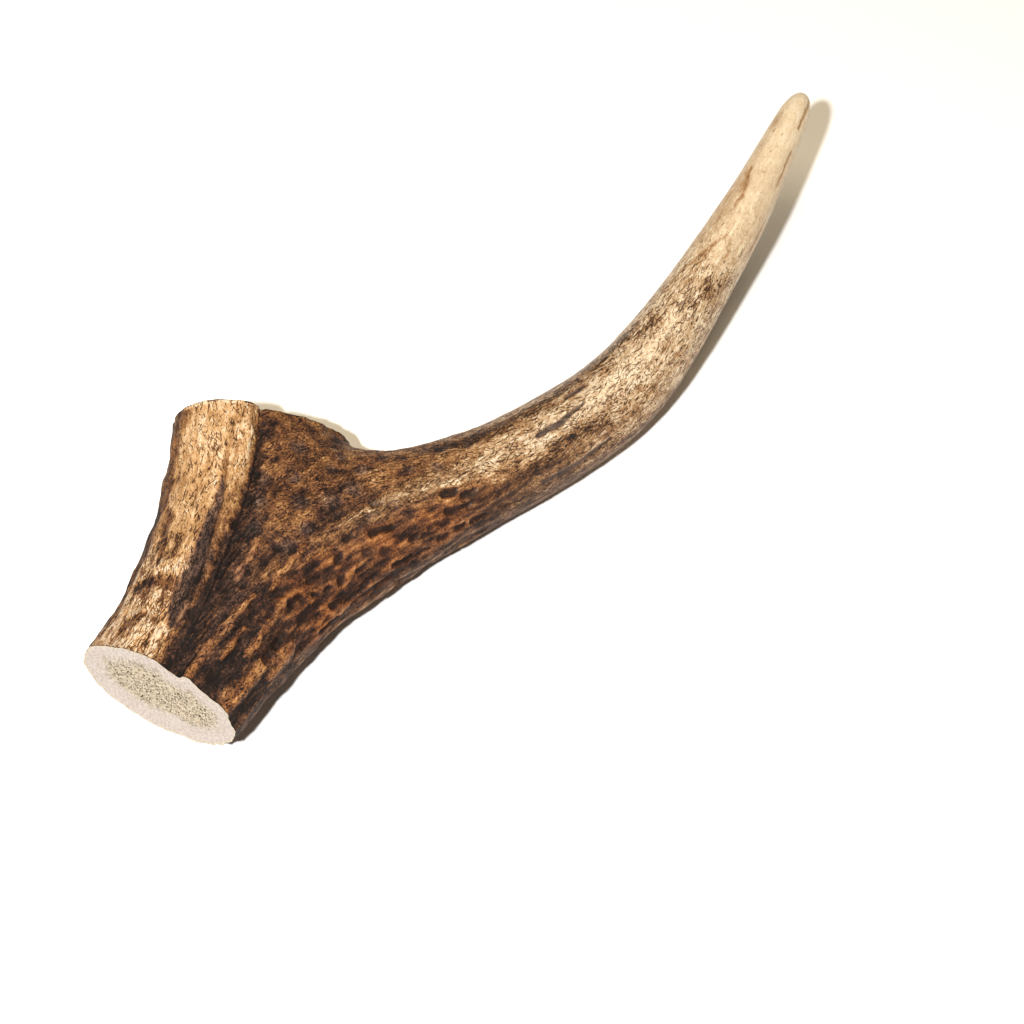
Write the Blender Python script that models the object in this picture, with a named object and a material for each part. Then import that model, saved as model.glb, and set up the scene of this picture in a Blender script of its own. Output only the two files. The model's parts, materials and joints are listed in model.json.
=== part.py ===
"""A sawn length of deer antler: the beam, cut off square above and below a fork, and the one tine that grows from it.

The antler lies as it rests on a table. +X runs from the lower saw cut towards the tip of the tine, +Y is across,
+Z is up, and the origin is under the middle of its box. Lengths below are in millimetres, angles in degrees.
"""

from collections import namedtuple
from math import cos, pi, radians, sin

import bmesh
import bpy
from mathutils import Matrix, Vector

MM = 0.001

# A station is one ring around a branch. Heading is the way the branch grows there, seen from above, from +X.
# The ring reaches half_width to each side of its centre, rise above it and drop below it, and bank is how much
# its right side stands higher than its centre.
Station = namedtuple("Station", "x y z heading half_width rise drop bank")

# The beam below the fork. Its first ring lies past the lower saw cut, and the cut takes it off.
TRUNK = (
    Station(-89.9, -6.9, 10.8, 11, 16.0, 10.8, 10.3, 3),
    Station(-79.9, -5.1, 10.8, 11, 16.2, 10.8, 10.3, 3),
    Station(-67.9, -3.1, 11.2, 13, 16.4, 11.2, 11.0, 2),
    Station(-56.9, 0.0, 11.6, 13, 18.1, 12.0, 11.6, 0),
    Station(-48.4, 2.9, 11.6, 11, 21.1, 12.0, 11.6, -1),
)
# The beam above the fork. Its last two rings lie past the upper saw cut.
UPPER_BEAM = (
    Station(-38.9, 13.1, 12.0, 36, 15.6, 12.0, 11.6, -3),
    Station(-32.9, 20.1, 12.5, 43, 14.5, 11.6, 11.8, -4),
    Station(-23.9, 28.1, 13.0, 43, 14.5, 11.5, 11.5, -4),
)
# The tine, from its root in the fork to its tip. It leaves the table at its bend and rises to the tip.
TINE = (
    Station(-24.9, -10.3, 10.0, -17, 10.7, 10.0, 10.0, 0),
    Station(-12.4, -15.0, 9.3, -18, 8.8, 9.0, 9.0, 0),
    Station(-0.6, -18.2, 9.1, -14, 8.5, 8.5, 8.5, 0),
    Station(11.0, -20.9, 9.5, -11, 8.2, 8.2, 8.2, 0),
    Station(21.3, -22.5, 11.4, -2, 7.8, 7.8, 7.9, 0),
    Station(33.2, -21.7, 15.2, 7, 6.7, 7.1, 7.5, 0),
    Station(45.8, -19.7, 19.3, 10, 5.6, 6.0, 6.3, 0),
    Station(57.7, -17.5, 22.8, 13, 4.9, 5.2, 5.2, 0),
    Station(67.7, -14.9, 25.3, 16, 4.0, 4.2, 4.2, 0),
    Station(76.7, -12.1, 27.2, 17, 3.3, 3.4, 3.4, 0),
    Station(82.2, -10.4, 28.0, 18, 2.7, 2.7, 2.7, 0),
)
TINE_TIP = Vector((85.9, -9.1, 28.5))
CROTCH = Vector((-21.9, 3.1, 9))  # the bottom of the saddle between the upper beam and the tine

TRUNK_SIDES = 12
BRANCH_SIDES = 8
SMOOTHING = 2

# Each saw cut is a plane: a point on it, its heading, and how far its top leans back into the beam.
Cut = namedtuple("Cut", "x y z heading lean")
LOWER_CUT = Cut(-80.9, -4.9, 10.5, 191, 8)
UPPER_CUT = Cut(-33.9, 19.1, 12.5, 43, 0)
FORK_SPLIT = Cut(-17.9, -11.4, 9.5, -17, 0)
SPLIT_GAP = 0.3
CUT_OFF = 70  # the length, and the width, of the waste beyond a saw cut
BEAM_REACH = 130  # more than the beam's length and width
TINE_REACH = 140  # more than the tine's length


def ring_points(station, sides):
    """The points of a station's ring, seen along its heading, from its right side up and round to the left."""
    heading = radians(station.heading)
    right = Vector((sin(heading), -cos(heading), 0))
    smoothing_loss = (4 + 2 * cos(2 * pi / sides)) / 6
    points = []
    for k in range(sides):
        angle = 2 * pi * k / sides
        height = station.rise if sin(angle) > 0 else station.drop
        offset = right * station.half_width * cos(angle)
        offset.z = height * sin(angle) + station.bank * cos(angle)
        points.append(Vector((station.x, station.y, station.z)) + offset / smoothing_loss)
    return points


def join_rings(cage, first, second):
    """Faces between two rings of as many points, all facing out."""
    count = len(first)
    for k in range(count):
        after = (k + 1) % count
        cage.faces.new((first[k], second[k], second[after], first[after]))


def add_ring(cage, points):
    return [cage.verts.new(point * MM) for point in points]


def fork_rings(cage):
    """The three rings that meet at the fork: around both branches, around the upper beam, and around the tine.

    The two branches share three points: over the saddle, in the crotch, and under it.
    """
    beam = ring_points(UPPER_BEAM[0], BRANCH_SIDES)
    tine = ring_points(TINE[0], BRANCH_SIDES)
    over = cage.verts.new((beam[1] + tine[3]) / 2 * MM)
    crotch = cage.verts.new(CROTCH * MM)
    under = cage.verts.new((beam[7] + tine[5]) / 2 * MM)
    beam_side = add_ring(cage, beam[2:7])
    tine_side = add_ring(cage, tine[6:] + tine[:3])
    around_both = tine_side[2:] + [over] + beam_side + [under] + tine_side[:2]
    around_beam = [crotch, over] + beam_side + [under]
    around_tine = tine_side[2:] + [over, crotch, under] + tine_side[:2]
    return around_both, around_beam, around_tine


def antler_mesh():
    """The control cage of the whole antler, which Subdivision Surface rounds."""
    cage = bmesh.new()
    trunk = [add_ring(cage, ring_points(station, TRUNK_SIDES)) for station in TRUNK]
    around_both, around_beam, around_tine = fork_rings(cage)
    upper = [add_ring(cage, ring_points(station, BRANCH_SIDES)) for station in UPPER_BEAM[1:]]
    tine = [add_ring(cage, ring_points(station, BRANCH_SIDES)) for station in TINE[1:]]
    for rings in (trunk + [around_both], [around_beam] + upper, [around_tine] + tine):
        for first, second in zip(rings, rings[1:]):
            join_rings(cage, first, second)
    cage.faces.new(trunk[0])
    cage.faces.new(reversed(upper[-1]))
    tip = cage.verts.new(TINE_TIP * MM)
    last = tine[-1]
    for k in range(BRANCH_SIDES):
        cage.faces.new((last[k], tip, last[(k + 1) % BRANCH_SIDES]))
    bmesh.ops.recalc_face_normals(cage, faces=cage.faces)
    mesh = bpy.data.meshes.new("antler cage")
    cage.to_mesh(mesh)
    cage.free()
    mesh.shade_smooth()
    return mesh


def saw_block(name, cut, length, width, side=1):
    """A hidden block whose one face is the cut. It lies ahead of the cut's heading, or behind it with side=-1."""
    block = bmesh.new()
    bmesh.ops.create_cube(block, size=MM)
    bmesh.ops.scale(block, verts=block.verts, vec=(length, width, width))
    bmesh.ops.translate(block, verts=block.verts, vec=(side * length * MM / 2, 0, 0))
    mesh = bpy.data.meshes.new(name)
    block.to_mesh(mesh)
    block.free()
    cutter = bpy.data.objects.new(name, mesh)
    bpy.context.collection.objects.link(cutter)
    turn = Matrix.Rotation(radians(cut.heading), 4, "Z") @ Matrix.Rotation(radians(-cut.lean), 4, "Y")
    cutter.matrix_world = Matrix.Translation(Vector((cut.x, cut.y, cut.z)) * MM) @ turn
    cutter.hide_render = True
    cutter.display_type = "WIRE"
    return cutter


def surface(name, colour, roughness):
    material = bpy.data.materials.new(name)
    material.use_nodes = True
    shader = material.node_tree.nodes["Principled BSDF"]
    shader.inputs["Base Color"].default_value = (*colour, 1)
    shader.inputs["Roughness"].default_value = roughness
    return material


def piece(name, mesh, material, cutters):
    """One piece of the antler: the smoothed cage with the cutters taken away."""
    made = bpy.data.objects.new(name, mesh)
    bpy.context.collection.objects.link(made)
    made.data.materials.append(material)
    smooth = made.modifiers.new("Round the cage", "SUBSURF")
    smooth.levels = SMOOTHING
    smooth.render_levels = SMOOTHING
    for cutter in cutters:
        cut = made.modifiers.new(cutter.name, "BOOLEAN")
        cut.operation = "DIFFERENCE"
        cut.solver = "EXACT"
        cut.object = cutter
    return made


def build():
    for old in list(bpy.data.objects):
        bpy.data.objects.remove(old, do_unlink=True)
    shift = Vector((cos(radians(FORK_SPLIT.heading)), sin(radians(FORK_SPLIT.heading)), 0)) * SPLIT_GAP / 2
    ahead = FORK_SPLIT._replace(x=FORK_SPLIT.x - shift.x, y=FORK_SPLIT.y - shift.y)
    behind = FORK_SPLIT._replace(x=FORK_SPLIT.x + shift.x, y=FORK_SPLIT.y + shift.y)
    lower_saw = saw_block("lower saw cut", LOWER_CUT, CUT_OFF, CUT_OFF)
    upper_saw = saw_block("upper saw cut", UPPER_CUT, CUT_OFF, CUT_OFF)
    past_split = saw_block("tine side of the split", ahead, TINE_REACH, TINE_REACH)
    before_split = saw_block("beam side of the split", behind, BEAM_REACH, BEAM_REACH, side=-1)
    dark_horn = surface("dark antler", (0.10, 0.05, 0.022), 0.45)
    pale_horn = surface("pale antler", (0.45, 0.30, 0.17), 0.4)
    piece("beam", antler_mesh(), dark_horn, (lower_saw, upper_saw, past_split))
    piece("tine", antler_mesh(), pale_horn, (before_split,))


build()
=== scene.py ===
# %% [markdown]
# # A sawn length of deer antler
#
# This script gives the bare antler its bark: the ridges, gutters, pits and stains that grow on a
# real one, and the two sawn ends of clean bone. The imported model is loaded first. It fixes the size
# and the place, so everything after it is measured from its boxes, its faces and its record.

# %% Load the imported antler
import json
import math

import bpy
import numpy as np
from mathutils import Matrix, Vector, noise
from mathutils.kdtree import KDTree


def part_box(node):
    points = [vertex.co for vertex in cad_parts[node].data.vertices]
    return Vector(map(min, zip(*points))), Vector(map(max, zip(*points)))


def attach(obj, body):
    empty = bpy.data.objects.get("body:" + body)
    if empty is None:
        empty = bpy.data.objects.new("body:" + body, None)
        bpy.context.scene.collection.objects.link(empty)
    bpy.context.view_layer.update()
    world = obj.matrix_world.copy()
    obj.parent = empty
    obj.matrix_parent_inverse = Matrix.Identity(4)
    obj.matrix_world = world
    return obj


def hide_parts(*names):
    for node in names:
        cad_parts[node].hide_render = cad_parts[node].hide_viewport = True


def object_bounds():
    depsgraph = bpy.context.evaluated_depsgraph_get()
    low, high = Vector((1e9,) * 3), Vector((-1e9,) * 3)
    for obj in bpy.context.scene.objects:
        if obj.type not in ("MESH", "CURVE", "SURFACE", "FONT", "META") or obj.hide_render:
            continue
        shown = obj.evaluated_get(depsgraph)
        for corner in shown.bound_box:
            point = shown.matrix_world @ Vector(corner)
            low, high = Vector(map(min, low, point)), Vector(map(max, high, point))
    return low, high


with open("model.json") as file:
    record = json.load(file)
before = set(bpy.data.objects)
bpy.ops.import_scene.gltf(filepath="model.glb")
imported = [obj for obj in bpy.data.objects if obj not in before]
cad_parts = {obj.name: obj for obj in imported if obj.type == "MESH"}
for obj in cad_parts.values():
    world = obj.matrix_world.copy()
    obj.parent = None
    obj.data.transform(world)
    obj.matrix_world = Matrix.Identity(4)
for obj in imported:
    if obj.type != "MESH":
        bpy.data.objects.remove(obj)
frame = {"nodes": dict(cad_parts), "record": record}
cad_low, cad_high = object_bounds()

MM = 0.001  # the scene is in metres, the antler is easier to describe in millimetres
nodes = frame["nodes"]
mounts = {mount["name"]: mount for mount in frame["record"]["mounts"]}
print("antler box in mm", [round(side / MM, 1) for side in cad_high - cad_low])

# %% [markdown]
# ## Camera
#
# The piece is looked at from above its lower sawn end, with the tine running away to the upper
# right. A long lens keeps the sides nearly parallel, as in a catalogue picture.

# %% Camera
bpy.context.scene.view_settings.view_transform = "Standard"
middle = (cad_low + cad_high) / 2
AIM_OFFSET = Vector((-8.4, -20.4, 0)) * MM
CAMERA_AZIMUTH = math.radians(-47)
CAMERA_ELEVATION = math.radians(60)
CAMERA_DISTANCE = 0.419
CAMERA_LENS = 80
aim = Vector((middle.x, middle.y, 0)) + AIM_OFFSET
level = math.cos(CAMERA_ELEVATION)
towards_camera = Vector(
    (math.sin(CAMERA_AZIMUTH) * level, -math.cos(CAMERA_AZIMUTH) * level, math.sin(CAMERA_ELEVATION))
)
bpy.ops.object.camera_add(location=aim + towards_camera * CAMERA_DISTANCE)
camera = bpy.context.object
camera.name = "camera"
camera.rotation_euler = towards_camera.to_track_quat("Z", "Y").to_euler()
camera.data.lens = CAMERA_LENS
bpy.context.scene.camera = camera
print("camera at", [round(value, 3) for value in camera.location])

# %% [markdown]
# ## One closed skin
#
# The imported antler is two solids, the beam and the tine, with a fine gap where they part. On the
# real piece the bark runs over that line without a break. So copies of the two are joined, their
# loose triangles are merged, the end of the tine is slid a little way into the beam, and a voxel
# remesh turns the pair into one even skin that is fine enough to carry grain. Both sawn ends are
# first drawn out by a few millimetres, because the saw comes last, as it does on the real thing:
# it then cuts straight through the ridges and leaves their true outline on the cut.

# %% Join copies of the two solids
SKIN_VOXEL = 0.36 * MM
SKIN_SMOOTHING = 14
END_ALLOWANCE = 3 * MM
GAP_OVERLAP = 0.9 * MM
ROOT_REACH = 0.45 * MM  # points of the tine nearer to the beam than this are its root face
MERGE_DISTANCE = 0.01 * MM
ON_FACE = 0.03 * MM


def select_only(*objects):
    """Deselects everything, then selects these objects and makes the first one active."""
    bpy.ops.object.select_all(action="DESELECT")
    for item in objects:
        item.select_set(True)
    bpy.context.view_layer.objects.active = objects[0]


def read(items, name, width=1, kind=np.float32):
    """One property of all the vertices, faces or corners of a mesh, as an array."""
    flat = np.empty(len(items) * width, kind)
    items.foreach_get(name, flat)
    return flat.reshape(-1, width) if width > 1 else flat


def mesh_places(item):
    """The vertices of an object's mesh as an array of places."""
    return read(item.data.vertices, "co", 3).astype(float)


def set_places(item, places):
    """Puts the vertices of an object's mesh at these places."""
    item.data.vertices.foreach_set("co", places.astype(np.float32).ravel())
    item.data.update()


def apply_modifier(item, name, kind, **settings):
    """Adds a modifier with these settings and applies it."""
    modifier = item.modifiers.new(name, kind)
    for setting, value in settings.items():
        setattr(modifier, setting, value)
    select_only(item)
    bpy.ops.object.modifier_apply(modifier=name)


copies = []
for node_name in ("beam", "tine"):
    copied = bpy.data.objects.new(node_name + "_copy", nodes[node_name].data.copy())
    bpy.context.scene.collection.objects.link(copied)
    copies.append(copied)
tine_places = mesh_places(copies[1])
beam_tree = KDTree(len(copies[0].data.vertices))
for index, place in enumerate(mesh_places(copies[0])):
    beam_tree.insert(place, index)
beam_tree.balance()
root_face = np.array([beam_tree.find(place)[2] < ROOT_REACH for place in tine_places])
fork_way = tine_places[root_face].mean(axis=0) - tine_places[~root_face].mean(axis=0)
fork_place = tine_places[root_face].mean(axis=0)
fork_axis = np.linalg.svd(tine_places[root_face] - fork_place)[2][2]
fork_axis *= np.sign(fork_axis @ -fork_way)
tine_places[root_face] -= fork_axis * GAP_OVERLAP
set_places(copies[1], tine_places)
select_only(*copies)
bpy.ops.object.join()
skin = copies[0]
skin.name = "skin"
bpy.ops.object.mode_set(mode="EDIT")
bpy.ops.mesh.select_all(action="SELECT")
bpy.ops.mesh.remove_doubles(threshold=MERGE_DISTANCE)
bpy.ops.object.mode_set(mode="OBJECT")
print("fork at mm", (fork_place / MM).round(1), "facing", fork_axis.round(3))

# %% Draw the sawn ends out and remesh
FACE_REACH = 25 * MM  # more than half the width of a sawn face


def select_flat_end(item, mount):
    """Selects the vertices of the flat face that a mount sits on."""
    place = Vector(mount["pos_m"])
    axis = Vector(mount["axis"]).normalized()
    for vertex in item.data.vertices:
        offset = vertex.co - place
        vertex.select = abs(offset.dot(axis)) < ON_FACE and offset.length < FACE_REACH


for mount in mounts.values():
    bpy.ops.object.mode_set(mode="EDIT")
    bpy.ops.mesh.select_all(action="DESELECT")
    bpy.ops.object.mode_set(mode="OBJECT")
    select_flat_end(skin, mount)
    bpy.ops.object.mode_set(mode="EDIT")
    bpy.ops.transform.translate(value=Vector(mount["axis"]).normalized() * END_ALLOWANCE)
    bpy.ops.object.mode_set(mode="OBJECT")
apply_modifier(skin, "even skin", "REMESH", mode="VOXEL", voxel_size=SKIN_VOXEL)
apply_modifier(skin, "soften", "SMOOTH", factor=0.5, iterations=SKIN_SMOOTHING)
print("skin vertices", len(skin.data.vertices))

# %% [markdown]
# ## Where the grain runs
#
# Everything on an antler follows the way it grew: gutters, dashes and cracks run along the beam and
# bend off along the tine. So each vertex gets a place in the flow: how far it lies along a branch,
# how far to its left, and how far above its middle, in millimetres. Patterns that read this place
# stretch and turn with the antler. Two middle lines are drawn, both from the lower cut: one to the
# upper cut, one to the tip of the tine. The vertices left of the main valley follow the first.

# %% Middle lines of the beam and of the tine
LEAD = 8  # mm that each line runs on past its ends
LINE_STEPS = 60
SLICES = 14  # rings of the tine whose middles its line goes through
SLICE_HALF = 2  # mm to each side of a ring's middle
FIRST_SLICE = 6  # mm from the root of the tine
LAST_SLICE = 4  # mm from its tip
EASE_ROUNDS = 3
EASE_POINTS = 300
EASE_REACH = 12  # points that are averaged on each side


def bend_between(start, start_way, end, end_way):
    """Points of a smooth bend that leaves start along start_way and reaches end along end_way."""
    share = np.linspace(0, 1, LINE_STEPS)[:, None]
    reach = np.linalg.norm(end - start)
    return (
        (2 * share**3 - 3 * share**2 + 1) * start
        + (share**3 - 2 * share**2 + share) * start_way * reach
        + (3 * share**2 - 2 * share**3) * end
        + (share**3 - share**2) * end_way * reach
    )


def unit(way):
    """The same way with a length of 1."""
    return way / np.linalg.norm(way)


lower_place = np.array(mounts["lower_cut"]["pos_m"]) / MM
upper_place = np.array(mounts["upper_cut"]["pos_m"]) / MM
lower_axis = unit(np.array(mounts["lower_cut"]["axis"]))
upper_axis = unit(np.array(mounts["upper_cut"]["axis"]))
inward = unit(-lower_axis * [1, 1, 0])

tine_low, tine_high = (np.array(corner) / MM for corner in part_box("tine"))
tine_points = mesh_places(nodes["tine"]) / MM
slice_places = []
for slice_x in np.linspace(tine_low[0] + FIRST_SLICE, tine_high[0] - LAST_SLICE, SLICES):
    ring = tine_points[abs(tine_points[:, 0] - slice_x) < SLICE_HALF]
    centre = (ring.min(axis=0) + ring.max(axis=0)) / 2
    slice_places.append((slice_x, centre[1], centre[2]))
tip_place = tine_points[tine_points[:, 0].argmax()]
slice_places = np.array(slice_places + [tip_place + [1, 0, 0]])

beam_line = np.vstack(
    (
        lower_place - inward * LEAD,
        bend_between(lower_place, inward, upper_place, upper_axis),
        upper_place + upper_axis * LEAD,
    )
)
tine_line = np.vstack(
    (
        lower_place - inward * LEAD,
        bend_between(lower_place, inward, slice_places[0], unit(slice_places[1] - slice_places[0])),
        slice_places[1:],
    )
)


def eased(line):
    """A line resampled at even steps, with its corners rounded."""
    window = np.hanning(2 * EASE_REACH + 1)
    for _ in range(EASE_ROUNDS):
        run = np.r_[0, np.cumsum(np.linalg.norm(np.diff(line, axis=0), axis=1))]
        even = np.linspace(0, run[-1], EASE_POINTS)
        line = np.stack([np.interp(even, run, line[:, axis]) for axis in range(3)], axis=1)
        padded = np.vstack([line[:1]] * EASE_REACH + [line] + [line[-1:]] * EASE_REACH)
        smooth = [np.convolve(padded[:, axis], window / window.sum(), "valid") for axis in range(3)]
        smooth = np.stack(smooth, axis=1)
        smooth[0], smooth[-1] = line[0], line[-1]
        line = smooth
    return line


def flow_along(places, line):
    """For each place in mm: how far along the line, how far left of it and how far above it."""
    spans = np.diff(line, axis=0)
    lengths = np.linalg.norm(spans, axis=1)
    run = np.r_[0, np.cumsum(lengths)]
    nearest = np.full(len(places), np.inf)
    along = np.zeros(len(places))
    for index, (start, span) in enumerate(zip(line, spans)):
        share = np.clip((places - start) @ span / lengths[index] ** 2, 0, 1)
        away = ((places - start - share[:, None] * span) ** 2).sum(axis=1)
        closer = away < nearest
        nearest[closer] = away[closer]
        along[closer] = run[index] + share[closer] * lengths[index]
    ways = np.gradient(line, axis=0)
    ways /= np.linalg.norm(ways, axis=1)[:, None]
    way = np.stack([np.interp(along, run, ways[:, axis]) for axis in range(3)], axis=1)
    middle_place = np.stack([np.interp(along, run, line[:, axis]) for axis in range(3)], axis=1)
    left = np.cross([0, 0, 1], way)
    left /= np.linalg.norm(left, axis=1)[:, None]
    above = np.cross(way, left)
    offset = places - middle_place
    return np.stack([along - LEAD, (offset * left).sum(axis=1), (offset * above).sum(axis=1)], axis=1)


beam_line = eased(beam_line)
tine_line = eased(tine_line)
places = mesh_places(skin) / MM
beam_flow = flow_along(places, beam_line)
tine_flow = flow_along(places, tine_line)
reaches = [round(float(branch[:, 0].max())) for branch in (beam_flow, tine_flow)]
print("beam and tine reach in mm", reaches)

# %% [markdown]
# ## Brush and noise
#
# Two tools lay out the bark. A tapering brush draws the features that can be pointed at, such as
# the long valley or the pale ridge. Its line is a few points in millimetres, each with the brush's
# half width there. Noise fills in what has no single place, such as the small gutters. Texture
# painting could do both by hand, but a line of numbers can be moved and measured again later.

# %% Brush and noise tools
WAVER_SIZE = 2.2  # mm between the bends of a wavering edge
FRAY_SIZE = 0.9


def ease_step(values, low, high):
    """0 at low, 1 at high, and a smooth rise between them."""
    share = np.clip((values - low) / (high - low), 0, 1)
    return share * share * (3 - 2 * share)


def between(values, rise_from, rise_to, fall_from, fall_to):
    """1 in the middle of a stretch, with a smooth rise before it and a smooth fall after it."""
    return ease_step(values, rise_from, rise_to) * (1 - ease_step(values, fall_from, fall_to))


def brushed(spots, line, softness):
    """How far each spot is under a tapering brush. Each point of its line ends with its half width."""
    cover = np.zeros(len(spots))
    for (*start, half), (*end, next_half) in zip(line, line[1:]):
        span = np.subtract(end, start)
        share = np.clip((spots - start) @ span / (span @ span), 0, 1)
        away = np.linalg.norm(spots - start - share[:, None] * span, axis=1)
        width = half + share * (next_half - half)
        cover = np.maximum(cover, 1 - ease_step(away / width, 1 - softness, 1 + softness))
    return cover


def brushed_all(spots, lines, softness):
    """The same brush drawn along several lines."""
    return np.maximum.reduce([brushed(spots, line, softness) for line in lines])


def rippled(flow, size, stretch, seed, octaves=2):
    """Soft noise between about -1 and 1, in lumps of this size in mm, stretched along the flow."""
    spots = flow / [size * stretch, size, size] + seed
    return np.array([noise.fractal(spot, 1.0, 2.0, octaves) for spot in spots.tolist()])


def tell(**covers):
    """Prints how much of the skin each feature covers."""
    for name, cover in covers.items():
        print(f"{name.replace('_', ' ')} covers {100 * cover.mean():.1f} per cent of the skin")


ways = read(skin.data.vertices, "normal", 3).astype(float)
upper_side = ease_step(ways[:, 2], -0.15, 0.2)
under_side = 1 - upper_side
waver = np.stack([rippled(places, WAVER_SIZE, 1.0, seed) for seed in (5.0, 15.0, 25.0)], axis=1)
fray = np.stack([rippled(places, FRAY_SIZE, 1.0, seed) for seed in (35.0, 45.0, 55.0)], axis=1)
tell(upper_side=upper_side)

# %% [markdown]
# ## The lie of the bark
#
# Seen from above, a dark valley runs from the lower cut to the upper one. A pale ridge stands along
# its left side, with a thin groove behind it, and the broad pale band lies beyond that. Right of
# the valley the trunk is gutters and ridges that fan out towards the tine. These lines are drawn
# on the plan, in millimetres from the middle of the lower cut, and noise makes their edges waver.

# %% Valley, pale ridge and pale band
WAVER_REACH = 0.40  # mm that an edge wavers, and that it frays
FRAY_REACH = 0.22
plan = places[:, :2] - lower_place[:2]
wavy_plan = plan + WAVER_REACH * waver[:, :2] + FRAY_REACH * fray[:, :2]
VALLEY = (  # each point: x, y, half width
    (-4.0, -5.8, 2.4), (2.7, -3.8, 2.3), (7.3, -1.4, 2.2), (12.6, 0.9, 2.1), (16.9, 2.6, 1.9),
    (21.2, 4.9, 1.5), (25.1, 6.7, 1.5), (28.6, 8.4, 1.4), (32.4, 10.7, 1.3), (36.7, 13.3, 1.2),
    (41.5, 16.7, 1.1), (46.1, 20.6, 0.9), (50, 24.5, 0.9),
)
DARK_SLOPE = (
    (2.0, -4.4, 1.4), (8.2, -2.6, 2.4), (14.8, -1.2, 2.7), (21.3, 1.6, 2.4), (26.7, 4.6, 1.9),
    (31.5, 7.6, 1.5), (36.5, 10.8, 1.2),
)
PALE_RIDGE = (
    (12.6, 3.0, 0.3), (15.4, 4.2, 0.4), (18.7, 5.5, 0.6), (22.4, 7.3, 0.8), (26.0, 9.4, 1.1),
    (31.0, 12.6, 1.5), (36.4, 16.0, 1.8), (41.3, 19.5, 2.0), (45.7, 23.0, 2.1), (50, 27, 2.2),
)
INNER_GROOVE = (
    (8.6, 3.0, 0.9), (10.6, 4.4, 1.2), (12.9, 6.0, 1.5), (15.7, 7.1, 1.6), (19.0, 8.2, 1.6),
    (21.6, 9.4, 1.3), (25.3, 11.8, 1.0), (29.6, 13.9, 0.7), (33.0, 16.4, 0.3),
)
PALE_BAND = (
    (-5.0, 6.0, 7.6), (2.3, 7.4, 7.2), (7.2, 9.0, 6.6), (12.7, 11.6, 5.6), (18.4, 14.2, 5.0),
    (23.7, 16.8, 4.9), (28.9, 19.8, 4.9), (34.0, 23.0, 4.9), (39.6, 26.4, 4.9), (47.0, 32.4, 5.2),
)


def on_top(lines, softness):
    """Lines brushed on the plan, where they lie on the upper side."""
    return brushed_all(wavy_plan, lines, softness) * upper_side


valley = brushed(wavy_plan, VALLEY, 0.6)
under_furrow = valley * under_side
valley = valley * upper_side
dark_slope = on_top([DARK_SLOPE], 0.8)
pale_ridge = on_top([PALE_RIDGE], 0.4)
inner_groove = on_top([INNER_GROOVE], 0.7)
pale_band = on_top([PALE_BAND], 0.22)
swell = brushed(plan, PALE_BAND, 0.8) * upper_side
tell(valley=valley, pale_ridge=pale_ridge, inner_groove=inner_groove, pale_band=pale_band)

# %% Nick, stains and brown shoulder of the band
NICK = ((10.4, 14.6, 0.7), (11.9, 13.3, 1.0), (13.0, 11.6, 1.2), (13.7, 9.6, 1.1), (13.9, 7.6, 0.8))
NICK_LIP = ((14.6, 14.4, 0.6), (16.0, 12.6, 0.9), (16.6, 10.6, 1.0), (17.0, 8.9, 0.8))
BAND_STAINS = (
    ((19.8, 18.2, 0.5), (22.6, 19.4, 0.8), (24.0, 20.8, 0.4)),
    ((26.9, 23.6, 0.4), (28.2, 24.6, 0.5)),
    ((15.4, 14.3, 0.3), (18.0, 15.9, 0.5), (19.4, 17.0, 0.3)),
    ((2.2, 9.6, 0.6), (4.6, 10.2, 0.7), (7.0, 8.8, 0.5)),
    ((34.0, 16.0, 0.7), (38.2, 18.6, 0.9), (41.4, 21.6, 0.6)),
)
BROWN_SHOULDER = (
    (24.0, 22.6, 0.6), (29.0, 27.2, 1.1), (33.5, 29.9, 1.6), (37.5, 32.2, 2.0), (43.0, 36.0, 2.4),
)
nick = on_top([NICK], 0.6)
nick_lip = on_top([NICK_LIP], 0.6)
band_stains = on_top(BAND_STAINS, 0.8)
shoulder = on_top([BROWN_SHOULDER], 0.7)
tell(nick=nick, band_stains=band_stains, brown_shoulder=shoulder)

# %% Ridges and gutters of the trunk
TRUNK_RIDGES = (
    ((-3, -7.4, 1.0), (4.0, -6.1, 1.0), (8.3, -5.0, 0.9), (13.2, -4.4, 0.8), (16.7, -3.7, 0.7),
     (21.2, -3.4, 0.5)),
    ((13.4, -10.1, 0.5), (16.0, -9.1, 0.6), (18.5, -8.8, 0.6), (21.6, -8.1, 0.6), (25.0, -7.2, 0.5)),
    ((-3, -14.4, 1.1), (3.9, -13.6, 1.1), (7.6, -13.2, 1.1), (11.5, -12.7, 0.9), (15.0, -12.0, 0.6)),
    ((9.6, -7.6, 0.4), (12.6, -7.2, 0.5), (16.2, -6.4, 0.4)),
    ((14.0, -14.0, 0.5), (18.0, -13.4, 0.7), (21.0, -12.4, 0.6)),
    ((21.9, 0.9, 0.6), (25.4, 2.0, 0.8), (29.0, 3.3, 0.6)),
    ((24.6, -4.4, 0.4), (27.2, -3.8, 0.5), (30.4, -3.2, 0.5), (34.0, -2.6, 0.4)),
    ((-3, -18.6, 0.6), (5.0, -17.0, 0.7), (12.0, -15.8, 0.6), (18.0, -15.6, 0.5)),
)
TRUNK_GUTTERS = (
    ((-3, -10.6, 1.5), (4.0, -9.8, 1.6), (10.6, -8.9, 1.5), (15.6, -6.7, 1.2), (20.4, -5.6, 1.0),
     (25.0, -5.6, 0.7)),
    ((9.0, -11.4, 0.9), (13.6, -11.6, 0.9), (18.0, -10.9, 0.9), (22.0, -9.9, 0.7)),
    ((-3, -16.4, 0.8), (4.2, -15.4, 0.9), (10.0, -14.6, 0.8)),
    ((21.6, -1.2, 0.8), (26.0, -0.4, 0.9), (30.4, 0.6, 0.7)),
)
level_side = ease_step(ways[:, 2], 0.1, 0.5)  # lines drawn on the plan would smear down a steep side
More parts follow.
